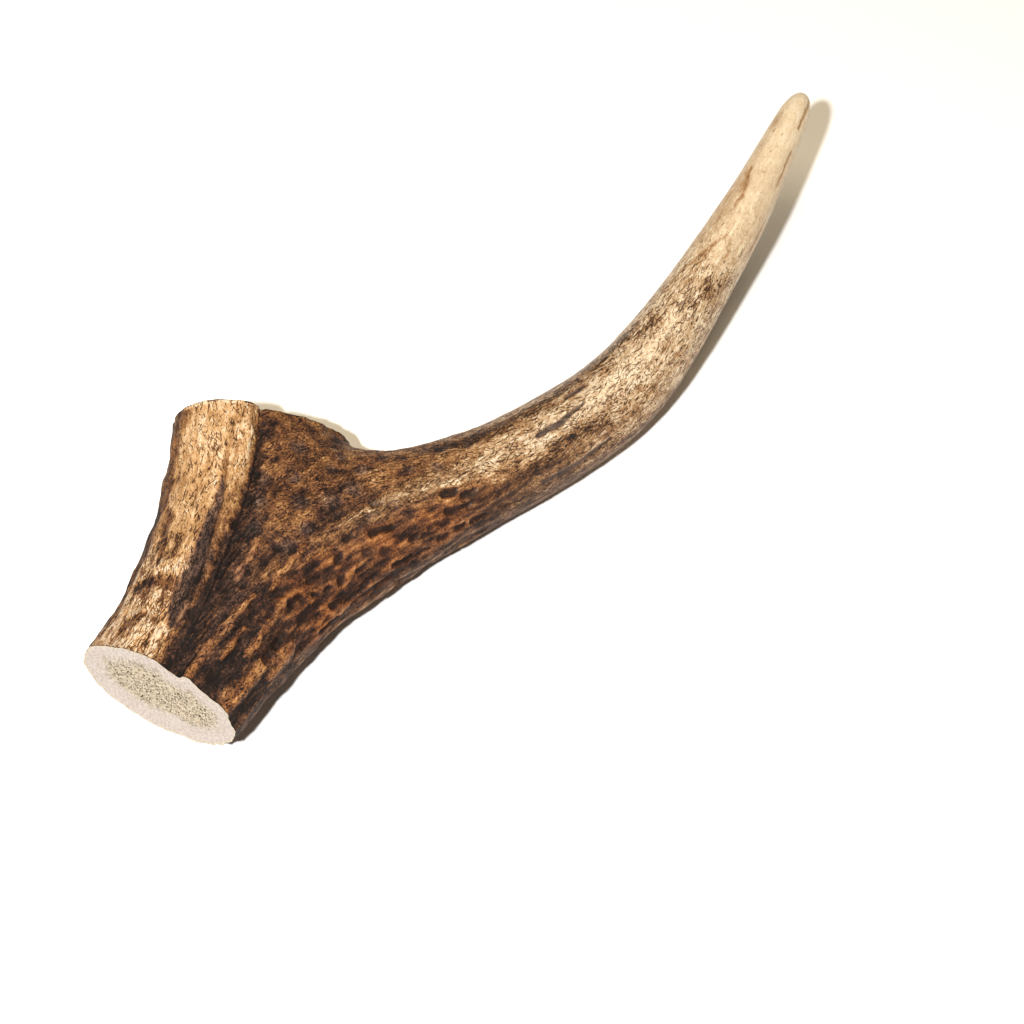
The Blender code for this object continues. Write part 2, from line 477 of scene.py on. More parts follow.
ridges = brushed_all(wavy_plan, TRUNK_RIDGES, 0.45) * level_side
gutters = brushed_all(wavy_plan, TRUNK_GUTTERS, 0.5) * level_side
tell(trunk_ridges=ridges, trunk_gutters=gutters)

# %% [markdown]
# The vertices are now told which middle line they follow. The change comes at the bottom of the
# valley, where it can't be seen, and on the under side in a furrow straight below it.

# %% Choose a middle line for each vertex
BEAM_REACH = 62  # mm along the tine's line; nothing past it follows the beam
BEAM_RIGHT = -4  # nor does what lies further right of the beam's line than this
valley_x = np.array([point[0] for point in VALLEY])
valley_y = np.array([point[1] for point in VALLEY])
left_of_valley = plan[:, 1] > np.interp(plan[:, 0], valley_x, valley_y)
follows_beam = left_of_valley & (tine_flow[:, 0] < BEAM_REACH) & (beam_flow[:, 1] > BEAM_RIGHT)
flow = np.where(follows_beam[:, None], beam_flow, tine_flow)
tine_run = tine_flow[:, 0]
tine_side = tine_flow[:, 1]
# Both turns are in degrees, 90 on top. The tine's is 0 on its right side, the beam's on its left.
tine_turn = np.degrees(np.arctan2(tine_flow[:, 2], -tine_flow[:, 1]))
beam_turn = np.degrees(np.arctan2(beam_flow[:, 2], beam_flow[:, 1]))
# The beam's left flank, where it turns down, is later darkened a little: partly brown bark and partly
# painted shade.
left_flank_shade = 1 - ease_step(beam_turn, 24, 58)
print("vertices that follow the beam", int(follows_beam.sum()))

# %% [markdown]
# ## Pits and marks
#
# Round the fork the bark is pocked with dark pits, each a few millimetres long and lying along the
# tine, and the tine itself has a few dark scars. They are drawn one by one, as brush strokes on a
# map of the tine: how far along it, and how far left of its middle. Noise scatters smaller pits over
# the lower right and the under side.

# %% Tools that draw on the skin
frayed_places = places + 0.34 * waver + 0.26 * fray
scarred_places = places + 0.14 * waver + 0.16 * fray
KEEP_OFF = 1000  # added to the squared distance on the under side, so that no mark lands there


def on_skin(run, side):
    """The place on the upper side of the skin this far along the tine and this far left of it."""
    away = (tine_flow[:, 0] - run) ** 2 + (tine_flow[:, 1] - side) ** 2 + KEEP_OFF * under_side
    return places[away.argmin()]


def skin_line(line):
    """A brush line of (along, left, half width) points laid on the skin."""
    return [(*on_skin(run, side), half) for run, side, half in line]


def skin_lines(spots, lines, softness):
    """Lines of the tine's map brushed on the upper side of the skin."""
    return brushed_all(spots, [skin_line(line) for line in lines], softness) * upper_side


def dotted(spots, dots, softness):
    """The brush set down on single places of the upper side of the skin."""
    cover = np.zeros(len(spots))
    for run, side, half in dots:
        away = np.linalg.norm(spots - on_skin(run, side), axis=1)
        cover = np.maximum(cover, 1 - ease_step(away / half, 1 - softness, 1 + softness))
    return cover * upper_side


print("middle of the tine's back at mm", on_skin(100, 0).round(1))

# %% Pits round the fork
PIT_SPREAD = 0.88  # how wide each pit is drawn, as a share of the width in the list
PIT_TAPER = 0.8  # how wide its far end is, as a share of the near one
HALO_WIDTH = 0.9  # mm of red-brown bark round a pit
STRAY_DEPTH = 0.9
PITS = (  # from along, left, to along, left, half width, how dark
    (26.2, -12.0, 28.4, -11.8, 1.25, 1.0), (25.8, -9.5, 28.1, -9.3, 0.85, 0.9),
    (29.8, -11.6, 31.0, -11.5, 0.8, 0.9), (32.4, -12.5, 35.0, -12.6, 0.65, 1.0),
    (30.6, -10.4, 31.4, -10.4, 0.6, 0.8), (36.6, -10.5, 37.3, -10.2, 1.0, 1.0),
    (31.8, -8.3, 33.4, -8.2, 1.1, 0.8), (38.2, -7.7, 39.3, -7.4, 1.0, 0.8),
    (34.2, -6.3, 35.0, -6.3, 0.7, 0.6), (40.7, -10.4, 42.5, -10.4, 0.6, 0.8),
    (40.6, -12.2, 44.2, -11.8, 0.65, 1.0), (35.9, -12.8, 40.0, -12.4, 0.55, 0.9),
    (46.6, -6.5, 50.3, -7.2, 0.85, 0.9), (49.0, -2.6, 50.6, -2.9, 0.55, 0.6),
    (43.7, -8.6, 44.4, -8.6, 0.7, 0.6), (47.1, -9.8, 47.9, -9.8, 1.1, 0.6),
    (53.2, -9.8, 53.8, -9.5, 1.0, 0.9), (47.8, -11.8, 51.8, -11.5, 0.65, 1.0),
    (62.3, -5.3, 64.4, -5.5, 0.85, 0.8), (65.6, -6.3, 67.8, -6.2, 0.65, 0.8),
    (61.5, -8.1, 66.2, -7.9, 0.7, 0.9), (65.7, -9.7, 68.6, -9.4, 0.6, 0.9),
    (56.8, -9.2, 61.2, -9.2, 0.65, 0.6), (58.2, -10.7, 60.2, -10.6, 0.75, 0.9),
    (62.2, -10.1, 63.9, -10.0, 0.65, 0.8), (53.0, -11.6, 55.9, -11.3, 0.65, 0.8),
    (41.6, -5.7, 42.8, -5.7, 0.6, 0.5), (33.4, -10.4, 34.5, -10.5, 0.55, 0.8),
    (22.4, -12.0, 24.2, -11.8, 0.7, 0.7), (18.6, -12.9, 21.1, -12.6, 0.7, 0.8),
    (14.6, -13.6, 17.2, -13.2, 0.7, 0.7), (43.0, -13.8, 47.0, -13.2, 0.6, 0.9),
    (28.4, -14.6, 33.0, -14.2, 0.7, 0.9), (20.6, -9.4, 22.2, -9.2, 0.6, 0.5),
    (71.5, -8.9, 74.4, -8.8, 0.5, 0.6), (37.5, -14.6, 41.5, -14.4, 0.55, 0.8),
)
pits = np.zeros(len(places))
halo = np.zeros(len(places))
for run, side, next_run, next_side, half, dark in PITS:
    width = half * PIT_SPREAD
    stroke = skin_line(((run, side, width), (next_run, next_side, width * PIT_TAPER)))
    pits = np.maximum(pits, dark * brushed(frayed_places, stroke, 0.38))
    rim_stroke = [(*spot, width + HALO_WIDTH) for *spot, width in stroke]
    halo = np.maximum(halo, dark * brushed(frayed_places, rim_stroke, 0.5))
scatter = rippled(flow, 1.9, 2.4, 23.0)
pit_zone = between(tine_run, 14, 26, 62, 78) * ~follows_beam
pit_zone *= np.maximum(under_side, 0.8 * ease_step(-tine_side, 10.5, 13))
pits = np.maximum(pits, STRAY_DEPTH * ease_step(scatter, 0.20, 0.42) * pit_zone)
tell(pits=pits, halo=halo)

# %% Dark and golden spots of the web
WEB_SPOTS = (  # along, left, half width
    (50.3, 10.2, 1.1), (47.4, 8.2, 0.9), (44.8, 14.4, 1.3), (65.7, 3.8, 1.0), (63.0, -0.5, 1.0),
    (29.4, 4.0, 1.2), (31.8, -1.9, 1.4), (39.0, 4.4, 1.4), (43.3, 2.0, 1.7), (47.8, 2.2, 1.5),
    (51.3, 5.4, 1.2), (36.2, 12.0, 1.3), (36.5, -0.8, 1.1), (33.5, 8.4, 1.2), (56.2, 7.0, 0.8),
    (58.5, 1.4, 0.9), (41.0, 9.0, 1.0), (70.5, 2.4, 0.8),
)
WEB_GOLD = (
    (56.9, 4.2, 1.7), (44.2, 6.6, 1.7), (44.2, 17.0, 1.3), (32.8, 2.9, 1.0), (49.6, 8.0, 1.1),
    (53.7, 6.4, 1.2), (30.6, 6.0, 1.1), (31.2, 2.6, 0.8), (26.0, -0.4, 1.3), (41.6, 12.4, 1.2),
    (47.6, 5.4, 1.0), (39.2, 7.6, 1.0), (61.5, 3.0, 1.3), (35.6, 5.6, 0.9), (52.2, 3.4, 0.9),
    (66.0, 1.4, 0.9), (45.8, 11.4, 1.0), (28.6, 1.6, 0.9),
)
web_spots = dotted(frayed_places, WEB_SPOTS, 0.75)
web_gold = dotted(frayed_places, WEB_GOLD, 0.8)
tell(web_spots=web_spots, web_gold=web_gold)

# %% Scars and stains of the tine
DARK_SCARS = (  # each line's points: along, left, half width
    ((82.4, -2.2, 0.45), (84.6, -2.1, 0.66), (87.4, -2.0, 0.62), (90.1, -1.5, 0.42),
     (94.0, -1.2, 0.22)),
    ((91.6, 1.7, 0.3), (93.4, 1.8, 0.5), (96.6, 1.7, 0.3)),
    ((80.0, -8.2, 0.3), (84.0, -8.1, 0.55), (88.0, -8.0, 0.4), (94.6, -7.7, 0.2)),
)
FINE_CRACKS = (
    ((100.0, -6.8, 0.2), (104.0, -6.5, 0.4), (109.0, -5.9, 0.25)),
    ((127.0, 2.9, 0.2), (130.4, 1.9, 0.32), (133.4, 1.0, 0.3), (137.6, -0.8, 0.2)),
    ((152.0, 2.2, 0.2), (148.0, 1.4, 0.32), (145.6, 0.9, 0.3), (143.0, 1.3, 0.2)),
    ((170.4, -1.2, 0.2), (167.6, -1.8, 0.34), (163.2, -2.2, 0.2)),
    ((158.4, -3.0, 0.16), (156.0, -3.2, 0.28), (150.6, -3.6, 0.16)),
    ((143.4, -4.5, 0.16), (140.6, -4.8, 0.3), (135.6, -5.2, 0.16)),
    ((139.0, 2.6, 0.12), (139.8, 2.5, 0.16)),
    ((160.2, 1.6, 0.1), (161.0, 1.5, 0.14)),
)
BROWN_STAINS = (
    ((62.0, 3.8, 1.3), (69.4, 3.2, 1.2), (75.0, 3.0, 1.2), (83.0, 3.4, 1.1), (91.0, 3.8, 0.9),
     (99.0, 4.6, 1.0), (108.0, 4.4, 1.2), (114.0, 4.2, 0.9)),
    ((77.0, -6.6, 1.2), (84.6, -5.2, 1.7), (90.0, -5.0, 1.5), (95.0, -5.6, 0.9)),
    ((121.6, -0.4, 1.2), (124.4, -1.6, 1.9), (127.6, -3.6, 1.8), (130.6, -5.0, 1.1)),
    ((150.4, 2.1, 0.5), (148.2, 1.6, 0.9), (145.6, 1.1, 0.5)),
    ((164.4, 2.0, 0.7), (161.6, 2.0, 0.9)),
    ((111.0, 2.4, 0.6), (115.0, 1.4, 0.8), (119.0, 0.6, 0.5)),
)
scars = skin_lines(scarred_places, DARK_SCARS, 0.7)
fine_cracks = skin_lines(scarred_places, FINE_CRACKS, 0.8)
stains = skin_lines(frayed_places, BROWN_STAINS, 0.85)
tell(scars=scars, fine_cracks=fine_cracks, stains=stains)

# %% Crest of the tine, rubbed paler and painted with sheen
CREST_SHEEN_LINE = (  # along, left
    (34, -5.0), (44, -3.2), (56, -3.4), (68, -2.6), (88, -1.8), (104, -1.0), (128, 0.0), (164, 0.0),
)
CREST_SHEEN_WIDTHS = ((36, 70, 110), (1.5, 2.4, 3.0))  # mm along, and mm from the crest's middle to its side


def along_tine(values, table):
    """A value read from a table of (mm along the tine, value) at each of these places."""
    return np.interp(values, [run for run, value in table], [value for run, value in table])


# Along the crest the bark is partly rubbed paler bone and partly a painted sheen: this mask lifts the
# tone, brings in the cream and takes red away.
crest_and_sheen_side = along_tine(tine_run, CREST_SHEEN_LINE)
crest = np.exp(-(((tine_side - crest_and_sheen_side) / np.interp(tine_run, *CREST_SHEEN_WIDTHS)) ** 2))
crest *= between(tine_run, 34, 50, 116, 136) * upper_side
tell(crest=crest)

# %% [markdown]
# ## Relief
#
# The parts above are added up as a height in millimetres, with long noise for the gutters that have
# no name, broad lumps on the web between the branches, and a fine grit everywhere. It fades along
# the tine, which years of rubbing have polished. Bump in the material would be quicker, but it
# leaves the outline smooth, so these heights move the mesh itself. Where the piece rests on the
# table, nothing is pushed below it.

# %% Noise that runs with the grain
trunk_share = 1 - ease_step(tine_run, 34, 72)
polish = ease_step(tine_run, 60, 128)
gutter_noise = rippled(flow, 2.3, 5.5, 3.0)
ripple_noise = rippled(flow, 1.2, 4.0, 31.0)
lump_noise = rippled(flow, 5.0, 1.3, 47.0)
grit_noise = rippled(flow, 0.9, 1.8, 61.0)
wave_noise = rippled(flow, 3.2, 9.0, 71.0)
print("gutter noise from", round(gutter_noise.min(), 2), "to", round(gutter_noise.max(), 2))

# %% Add up the relief and move the skin
far_along = ease_step(plan[:, 0], 26, 42)
from_upper_cut = (upper_place - places) @ upper_axis
cut_nearness = (1 - ease_step(from_upper_cut, 3, 20)) * (1 - ease_step(tine_run, 46, 56))
beside_band = cut_nearness * (1 - swell) * ~follows_beam * upper_side
HEIGHTS = (  # each feature, and the mm that it stands proud of the bark or lies below it
    (valley, -0.9), (pale_ridge, 0.55), (pale_ridge * far_along, -0.3), (inner_groove, -0.35),
    (nick, -0.3), (nick_lip, 0.22), (ridges, 0.5), (gutters, -0.4), (dark_slope, -0.15),
    (under_furrow, -0.35), (pits, -0.50), (scars, -0.18), (fine_cracks, -0.08),
    (web_spots, -0.16), (band_stains, -0.15), (swell, 0.15), (swell * cut_nearness, 0.75),
    (beside_band, -0.8), (web_gold, 0.12), (crest, 0.12),
)
on_bare_trunk = 1 - 0.7 * np.maximum(pale_band, pale_ridge)
ROUGH_HEIGHTS = (  # each noise: mm on the trunk, mm on the tine, share that is worn off at the tip
    (gutter_noise * on_bare_trunk, 0.42, 0.0, 0.0),
    (ripple_noise, 0.15, 0.05, 0.5),
    (lump_noise, 0.28, 0.12, 0.6),
    (wave_noise, 0.0, 0.10, 0.5),
    (grit_noise, 0.08, 0.08, 0.8),
)
relief = sum(height * cover for cover, height in HEIGHTS)
for bumps, on_trunk, on_tine, worn in ROUGH_HEIGHTS:
    height = on_trunk * trunk_share + on_tine * (1 - trunk_share)
    relief += bumps * height * (1 - worn * polish)
off_table = ease_step(places[:, 2], 0.1, 2.2)
relief = np.where((ways[:, 2] < 0) & (relief > 0), relief * off_table, relief)
set_places(skin, (places + ways * relief[:, None]) * MM)
print("relief from", round(float(relief.min()), 2), "to", round(float(relief.max()), 2), "mm")

# %% [markdown]
# ## Paint
#
# Colour follows the same features. It is laid down as a tone from 0, nearly black, to 1, cream,
# which the material turns into browns. The gutters hold old blood and bark juice and are dark. The
# parts that stand proud were rubbed down to paler bone. Where the tone also follows the noise that
# shapes the relief, its hollows are darkened as painted shade and its bumps lightened as painted
# light. Other values say how red the brown is, how far the tine's cooler cream has taken over, where
# the colour is faded and where a painted reflection greys it, how strong the grain is, how thick the
# dark flecks lie and how polished the skin is. One painted image could hold the colours, but it would
# need a map of the skin, and a tone can be made lighter with one number.

# %% Tone along the tine
TINE_TONES = (  # mm along the tine, tone
    (-6, 0.22), (14, 0.23), (24, 0.31), (32, 0.37), (42, 0.39), (52, 0.44), (62, 0.50), (72, 0.59),
    (82, 0.69), (92, 0.72), (104, 0.78), (114, 0.82), (120, 0.84), (127, 0.81), (134, 0.84),
    (150, 0.90), (164, 0.97), (176, 1.0),
)
GOLD_TONE = 0.58
SPOT_TONE = 0.23


def paint_over(base, *coats):
    """Lays values over a base, one coat after another, each where its cover is 1."""
    for value, cover in coats:
        base = base + (value - base) * cover
    return base


tone = along_tine(tine_run + 2.5 * lump_noise, TINE_TONES)
outer_edge = ease_step(-tine_side, 3.5, 8.0) * between(tine_run, 58, 70, 84, 106)
inner_edge = ease_step(tine_side, 3.0, 6.5) * between(tine_run, 82, 94, 96, 112)
gold_edge = ease_step(tine_side, 0.5, 3.0) * ease_step(tine_run, 128, 146)
# Painted sheen, together with rubbed paler bone, lifts the tone of the crest.
crest_and_sheen_lift = 0.06 + 0.15 * ease_step(tine_run, 54, 72) - 0.06 * ease_step(tine_run, 84, 100)
crest_and_sheen_lift *= 1 - ease_step(tine_run, 100, 124)
web = between(tine_run, 24, 38, 64, 78) * ease_step(tine_side, -4, 3) * ~follows_beam
web_lift = 0.28 * np.clip(rippled(tine_flow, 2.8, 1.3, 97.0, 3), -0.7, 1) + 0.05
tone += crest_and_sheen_lift * crest - 0.20 * outer_edge - 0.11 * inner_edge - 0.07 * gold_edge
tone += web_lift * web
tone = paint_over(tone, (GOLD_TONE, 0.50 * web_gold), (SPOT_TONE, 0.55 * web_spots))
print("tone of the tine from", round(tone.min(), 2), "to", round(tone.max(), 2))

# %% Orange bark under the fork
orange_zone = ease_step(-tine_side, 3, 8) * between(tine_run, 16, 26, 62, 84) * ~follows_beam
# Lighter where the relief noise stands up: the bark's mottling, with painted light on the bumps.
orange_lift = 0.15 * np.clip(1.6 * ripple_noise + 0.8 * lump_noise, -0.8, 1) - 0.10
orange_lift += 0.10 * (1 - ease_step(tine_run, 34, 48))
tone += orange_lift * orange_zone + 0.09 * halo - 0.12 * stains
# Darker in the hollows and lighter on the rises of the gutter noise: stain and wear, with painted shade in
# the hollows.
tone += (0.20 * gutter_noise - 0.02) * trunk_share * ~follows_beam
tell(orange_zone=orange_zone)

# %% Tone of the beam
BEAM_BASE = 0.29
BAND_TONE = 0.89
SHOULDER_TONE = 0.52
STAIN_TONE = 0.40
GROOVE_TONE = 0.29
LIP_TONE = 0.90
NICK_TONE = 0.34
towards_cut = -plan[:, 0]  # grows towards the lower cut
lower_band = ease_step(towards_cut, -24, -12)
band_patches = rippled(beam_flow, 2.6, 2.2, 83.0, 3)
band_wear = ease_step(band_patches, -0.02, 0.4) * (0.45 + 0.55 * ease_step(towards_cut, -30, -16))
groove_depth = 0.45 + 0.45 * ease_step(towards_cut, -32, -22)
# The base tone follows the relief noise, so its darker hollows are partly painted shade.
beam_tone = paint_over(
    BEAM_BASE + 0.12 * lump_noise + 0.16 * gutter_noise,
    (BAND_TONE + 0.10 * lower_band - 0.16 * band_wear, pale_band),
    (SHOULDER_TONE, 0.75 * shoulder),
    (STAIN_TONE, 0.8 * band_stains),
    (GROOVE_TONE, groove_depth * inner_groove),
    (LIP_TONE, 0.6 * nick_lip),
    (NICK_TONE, 0.8 * nick),
)
beam_tone -= 0.05 * ease_step(towards_cut, -40, -16) * (1 - lower_band) * pale_band
tone = np.where(follows_beam, beam_tone, tone)
print("tone of the beam from", round(beam_tone.min(), 2), "to", round(beam_tone.max(), 2))

# %% Valley, ridges and painted shade along the flank by the table
SLOPE_TONE = 0.24
GUTTER_TONE = 0.17
YOUNG_RIDGE_TONE = 0.56  # the pale ridge near the lower cut, where it starts
RIDGE_TONE = 0.84
TRUNK_RIDGE_TONE = 0.58
FLANK_SHADE_TOPS = ((0, 40, 76, 110), (5, 8, 14, 6))  # mm along, and the turn in degrees that it reaches
FLANK_SHADE_TONES = ((50, 76, 100, 124), (0.38, 0.34, 0.50, 0.68))
ridge_wear = ease_step(plan[:, 0], 19, 40)
tone = paint_over(
    tone,
    (SLOPE_TONE, 0.62 * dark_slope),
    (GUTTER_TONE, 0.95 * valley * (1 - pale_ridge)),
    (paint_over(YOUNG_RIDGE_TONE, (RIDGE_TONE, ridge_wear)), pale_ridge * (0.6 + 0.4 * ridge_wear)),
    (GUTTER_TONE, 0.85 * gutters),
    (TRUNK_RIDGE_TONE, 0.95 * ridges),
)
# Ripple noise, which also shapes the relief, lightens its bumps and darkens its hollows as painted light
# and shade.
tone += 0.11 * ripple_noise * (1 - 0.7 * polish)
# Painted shade and a painted grey reflection of the floor: the flank that turns down to the table is
# darkened here, and is later greyed and made less red.
skirt = 1 - ease_step(tine_turn + 8 * lump_noise - np.interp(tine_run, *FLANK_SHADE_TOPS), -9, 7)
skirt *= ease_step(tine_turn, -75, -40) * (1 - ease_step(tine_run, 104, 126)) * ~follows_beam
flank_shade_tone = np.interp(tine_run, *FLANK_SHADE_TONES) + 0.20 * ripple_noise + 0.15 * grit_noise
tone = paint_over(tone, (flank_shade_tone, 0.75 * skirt))
tell(skirt=skirt)

# %% Pits, scars and the bared edge of the upper cut
PIT_TONE = 0.15
SCAR_TONE = 0.30
CRACK_TONE = 0.56
BARED_TONE = 0.98
LOWEST_TONE = 0.08
bared = 1 - ease_step(from_upper_cut + 0.3 * fray[:, 0], 0.3, 0.9)
# Painted shade over the brown of the bark darkens the beam's left flank a little.
tone = np.where(follows_beam, tone - 0.05 * left_flank_shade, tone)
tone = paint_over(
    tone,
    (PIT_TONE, np.clip(1.3 * pits, 0, 0.97) * (1 - 0.6 * skirt)),
    (SCAR_TONE, np.clip(1.5 * scars, 0, 1)),
    (CRACK_TONE, 0.75 * fine_cracks),
    (BARED_TONE, bared * pale_band),
)
tone = np.clip(tone, LOWEST_TONE, 1)
print("tone from", round(float(tone.min()), 2), "to", round(float(tone.max()), 2))

# %% Redness, cream, fading and a painted reflection
redness = np.maximum.reduce((0.75 * orange_zone, 0.6 * ridges * ~follows_beam, 0.9 * halo))
# Red is taken out under the crest's painted sheen and on the flank's painted shade and reflection.
redness = np.clip(redness * (0.85 + 0.5 * lump_noise), 0, 1) * (1 - 0.8 * crest) * (1 - skirt)
mid_tine = between(tine_run, 60, 76, 112, 128)
faint_red = (0.12 * mid_tine, 0.18 * web, 0.22 * dark_slope, 0.18 * lower_band * pale_band)
redness = np.maximum.reduce((redness, *faint_red))
# The crest takes the cooler cream, partly as rubbed bone and partly as painted sheen.
cream = np.maximum(ease_step(tine_run, 52, 90) * (1 - 0.5 * inner_edge), crest)
# Fading greys the groove, scars, web spots and dark slope; along the flank by the table the same grey is a
# painted reflection of the floor.
fade_and_reflection = 0.5 * inner_groove + 0.8 * scars + 0.5 * web_spots + 0.2 * dark_slope + 0.2 * skirt
fade_and_reflection = np.clip(fade_and_reflection, 0, 1)
tell(redness=redness, cream=cream, fading=fade_and_reflection)

# %% Grain, flecks and shine
on_orange = orange_zone * (1 - crest)
grain = paint_over(
    1.0 + 0.25 * web,
    (0.80, ease_step(tine_run, 78, 104) * (1 - 0.5 * stains)),
    (0.26, ease_step(tine_run, 118, 150)),
    (0.80, on_orange),
)
grain *= 1 - 0.5 * np.maximum(pits, scars)
band_grain = paint_over(grain, (0.50 + 0.35 * lower_band, pale_band))
grain = np.where(follows_beam, band_grain, grain)
streaky = paint_over(1.0, (0.12, web))
band_flecks = paint_over(0.50, (0.62 + 0.30 * lower_band, pale_band)) + 0.45 * band_wear
flecks = np.where(follows_beam, band_flecks, 0.66 + 0.05 * crest + 0.35 * stains)
flecks += 0.22 * ease_step(tine_side, 1.0, 3.5) * between(tine_run, 56, 70, 116, 130)
flecks = paint_over(flecks, (0.30, on_orange), (-0.15, ease_step(tine_run, 120, 150)))
shine = np.maximum(0.75 * ease_step(tine_run, 52, 96), 0.45 * crest)
shine *= 0.2 + 0.8 * ease_step(tine_turn, 4, 40)  # the flank near the table is dull
tell(grain=grain, flecks=flecks, shine=shine)

# %% [markdown]
# ## Keep the values on the mesh
#
# Each value becomes an attribute of the mesh's points. The materials read them by name, so that a
# stain stays on its own ridge whatever is done to the mesh afterwards.

# %% Store the attributes


def store(item, name, values, kind="FLOAT"):
    """Keeps one value for each vertex as a named attribute."""
    attribute = item.data.attributes.new(name, kind, "POINT")
    key = "value" if kind == "FLOAT" else "vector"
    attribute.data.foreach_set(key, np.asarray(values, np.float32).ravel())


store(skin, "flow", flow, "FLOAT_VECTOR")
skin_values = {
    "tone": tone, "redness": redness, "cream": cream, "fade_and_reflection": fade_and_reflection,
    "grain": grain, "streaky": streaky, "flecks": flecks, "shine": shine,
}
for name, values in skin_values.items():
    store(skin, name, values)
print("values kept on the mesh:", ", ".join(skin_values))

# %% [markdown]
# ## Beam and tine
#
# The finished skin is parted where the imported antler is, so that the beam and the tine stay two
# pieces, each with its own finish. Both are cut by the same plane through the same mesh, so
# the cut edges match vertex for vertex and no line shows.

# %% Part the skin at the fork


def parted(item, name, keep_tine):
    """A copy of the skin cut at the fork, closed with a flat face."""
    part = item.copy()
    part.data = item.data.copy()
    part.name = name
    bpy.context.scene.collection.objects.link(part)
    select_only(part)
    bpy.ops.object.mode_set(mode="EDIT")
    bpy.ops.mesh.select_all(action="SELECT")
    bpy.ops.mesh.bisect(
        plane_co=fork_place, plane_no=fork_axis, use_fill=True,
        clear_inner=keep_tine, clear_outer=not keep_tine,
    )
    bpy.ops.object.mode_set(mode="OBJECT")
    return part


beam_skin = parted(skin, "beam_skin", keep_tine=False)
tine_skin = parted(skin, "tine_skin", keep_tine=True)
bpy.data.objects.remove(skin)
for part in (beam_skin, tine_skin):
    print(part.name, "vertices", len(part.data.vertices))

# %% [markdown]
# ## The saw
#
# A saw leaves a flat face with a hard rim. A Boolean does the same: a block is laid with one face
# on the cut and taken away from the beam. That face is a fine grid, and the cut takes over its
# vertices, so that the sawn bone has points enough to carry pores and saw marks.

# %% Saw both ends
CUT_GRID = 0.2 * MM
CUT_MARGIN = 1.8 * MM
CUT_DEPTH = 12 * MM


def face_extent(mount, across):
    """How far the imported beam's flat face reaches from its mount, each way along a direction."""
    place = np.array(mount["pos_m"])
    axis = unit(np.array(mount["axis"]))
    offset = mesh_places(nodes["beam"]) - place
    on_face = (abs(offset @ axis) < ON_FACE) & (np.linalg.norm(offset, axis=1) < FACE_REACH)
    reach = offset[on_face] @ across
    return reach.min(), reach.max()


def saw_block(mount):
    """A block lying on a mount's face and a little wider than it, with a fine grid where it cuts."""
    turn = Vector(mount["axis"]).normalized().to_track_quat("Z", "Y").to_matrix()
    low_x, high_x = face_extent(mount, np.array(turn.col[0]))
    low_y, high_y = face_extent(mount, np.array(turn.col[1]))
    length = high_x - low_x + 2 * CUT_MARGIN
    width = high_y - low_y + 2 * CUT_MARGIN
    bpy.ops.object.select_all(action="DESELECT")
    bpy.ops.mesh.primitive_grid_add(
        x_subdivisions=round(length / CUT_GRID), y_subdivisions=round(width / CUT_GRID), size=1
    )
    block = bpy.context.object
    bpy.ops.object.mode_set(mode="EDIT")
    bpy.ops.mesh.select_all(action="SELECT")
    bpy.ops.transform.resize(value=(length, width, 1))
    bpy.ops.transform.translate(value=((low_x + high_x) / 2, (low_y + high_y) / 2, 0))
    bpy.ops.mesh.extrude_region_move(TRANSFORM_OT_translate={"value": (0, 0, CUT_DEPTH)})
    bpy.ops.mesh.select_all(action="SELECT")
    bpy.ops.mesh.normals_make_consistent(inside=False)
    bpy.ops.object.mode_set(mode="OBJECT")
    block.data.transform(Matrix.Translation(Vector(mount["pos_m"])) @ turn.to_4x4())
    return block


for mount in mounts.values():
    block = saw_block(mount)
    apply_modifier(beam_skin, "saw", "BOOLEAN", operation="DIFFERENCE", solver="MANIFOLD", object=block)
    bpy.data.objects.remove(block)
print("beam vertices", len(beam_skin.data.vertices))

# %% [markdown]
# ## Sawn bone
#
# A cut antler is a rim of hard, nearly white bone round a core like fine sponge. The distance from
# the rim decides which is which, and the core sits a little nearer the upper side. In the core
# small pores go down into the bone, and the whole face carries the faint scratches of the saw.

# %% Find the sawn faces
ON_CUT = 0.01  # mm from the plane of a cut
FACING_CUT = 0.99  # how nearly a face points along the cut's axis
FAR_FROM_RIM = 9.0  # mm, told to points that aren't on a sawn face

mesh = beam_skin.data
beam_places = mesh_places(beam_skin) / MM
corner_points = read(mesh.loops, "vertex_index", kind=np.int64)
corner_counts = read(mesh.polygons, "loop_total", kind=np.int64)
corner_faces = np.repeat(np.arange(len(corner_counts)), corner_counts)
face_ways = read(mesh.polygons, "normal", 3)
face_middles = read(mesh.polygons, "center", 3) / MM
cuts = []
cut_faces = np.zeros(len(corner_counts), bool)
for place, axis in ((lower_place, lower_axis), (upper_place, upper_axis)):
    here = (abs((face_middles - place) @ axis) < ON_CUT) & (face_ways @ axis > FACING_CUT)
    cut_faces |= here
    touches_cut = np.zeros(len(beam_places), bool)
    touches_cut[corner_points[here[corner_faces]]] = True
    touches_bark = np.zeros(len(beam_places), bool)
    touches_bark[corner_points[~here[corner_faces]]] = True
    rim = np.flatnonzero(touches_cut & touches_bark)
    inside = np.flatnonzero(touches_cut & ~touches_bark)
    cuts.append((place, axis, rim, inside))
print("inner points of the two cuts", [len(inside) for *_, inside in cuts], "faces", int(cut_faces.sum()))

# %% Rim distance, pores and saw marks
RIM_ABOVE = 3.2  # mm of hard bone at the top of the cut
RIM_BELOW = 5.6
CORE_WAVER_SIZE = 2.6
PORE_SIZE = 0.66
PORE_DEPTH = 0.3
SAW_MARK = 0.02
SAW_DEPTH = 0.04
SAW_WAY = (0, 0.3, 1)  # the scratches run this way, nearly upright
SAW_PITCH = 7.0  # turns of the coarse and of the fine scratches, in radians for each mm
FINE_SAW_PITCH = 17.3

